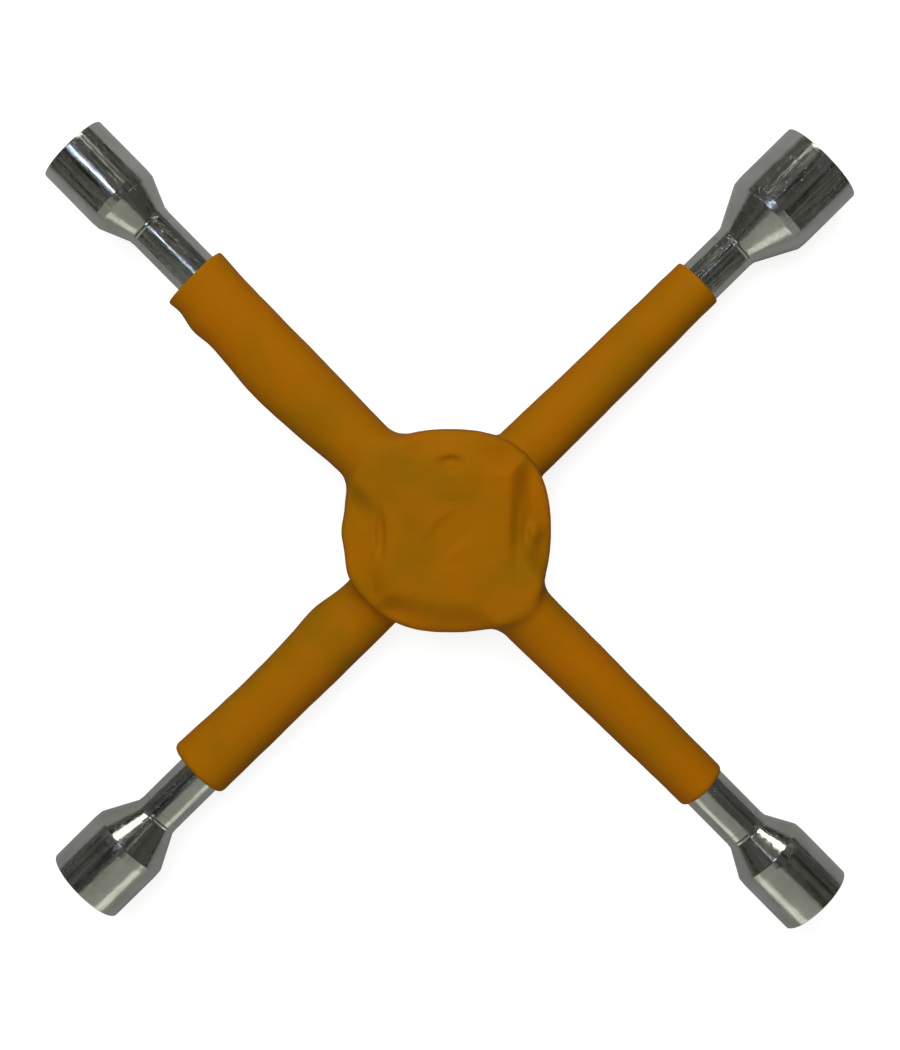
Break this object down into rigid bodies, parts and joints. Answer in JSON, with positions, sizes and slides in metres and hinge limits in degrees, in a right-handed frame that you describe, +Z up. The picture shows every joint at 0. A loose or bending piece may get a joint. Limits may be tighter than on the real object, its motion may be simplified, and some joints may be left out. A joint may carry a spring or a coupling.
{
  "type": "lug wrench",
  "caption": "Four-way cross lug wrench: round steel bars crossing in a round hub, a hexagon socket on each end, and a dipped grip coat.",
  "frame": {"origin": "under the centre of the hub, on the level of the wrench's lowest point", "axes": "+Z up, square to the hub's disc; +X along the front bar towards the 19 mm socket; +Y along the back bar towards the 23 mm socket"},
  "size_m": [0.359, 0.355, 0.0396],
  "materials": {
    "chrome_plated_steel": "chrome plated over forged steel, lightly textured",
    "bare_steel": "pressed sheet and rivets, hidden under the coat",
    "orange_vinyl": "dipped soft vinyl, satin, with sags from dripping"
  },
  "bodies": {
    "root": {"front_bar": "chrome_plated_steel", "back_bar": "chrome_plated_steel", "socket_17mm": "chrome_plated_steel", "socket_19mm": "chrome_plated_steel", "socket_21mm": "chrome_plated_steel", "socket_23mm": "chrome_plated_steel", "front_hub_plate": "bare_steel", "back_hub_plate": "bare_steel", "hub_rivet_1": "bare_steel", "hub_rivet_2": "bare_steel", "hub_rivet_3": "bare_steel", "hub_rivet_4": "bare_steel", "grip_coat": "orange_vinyl"}
  },
  "joints": []
}
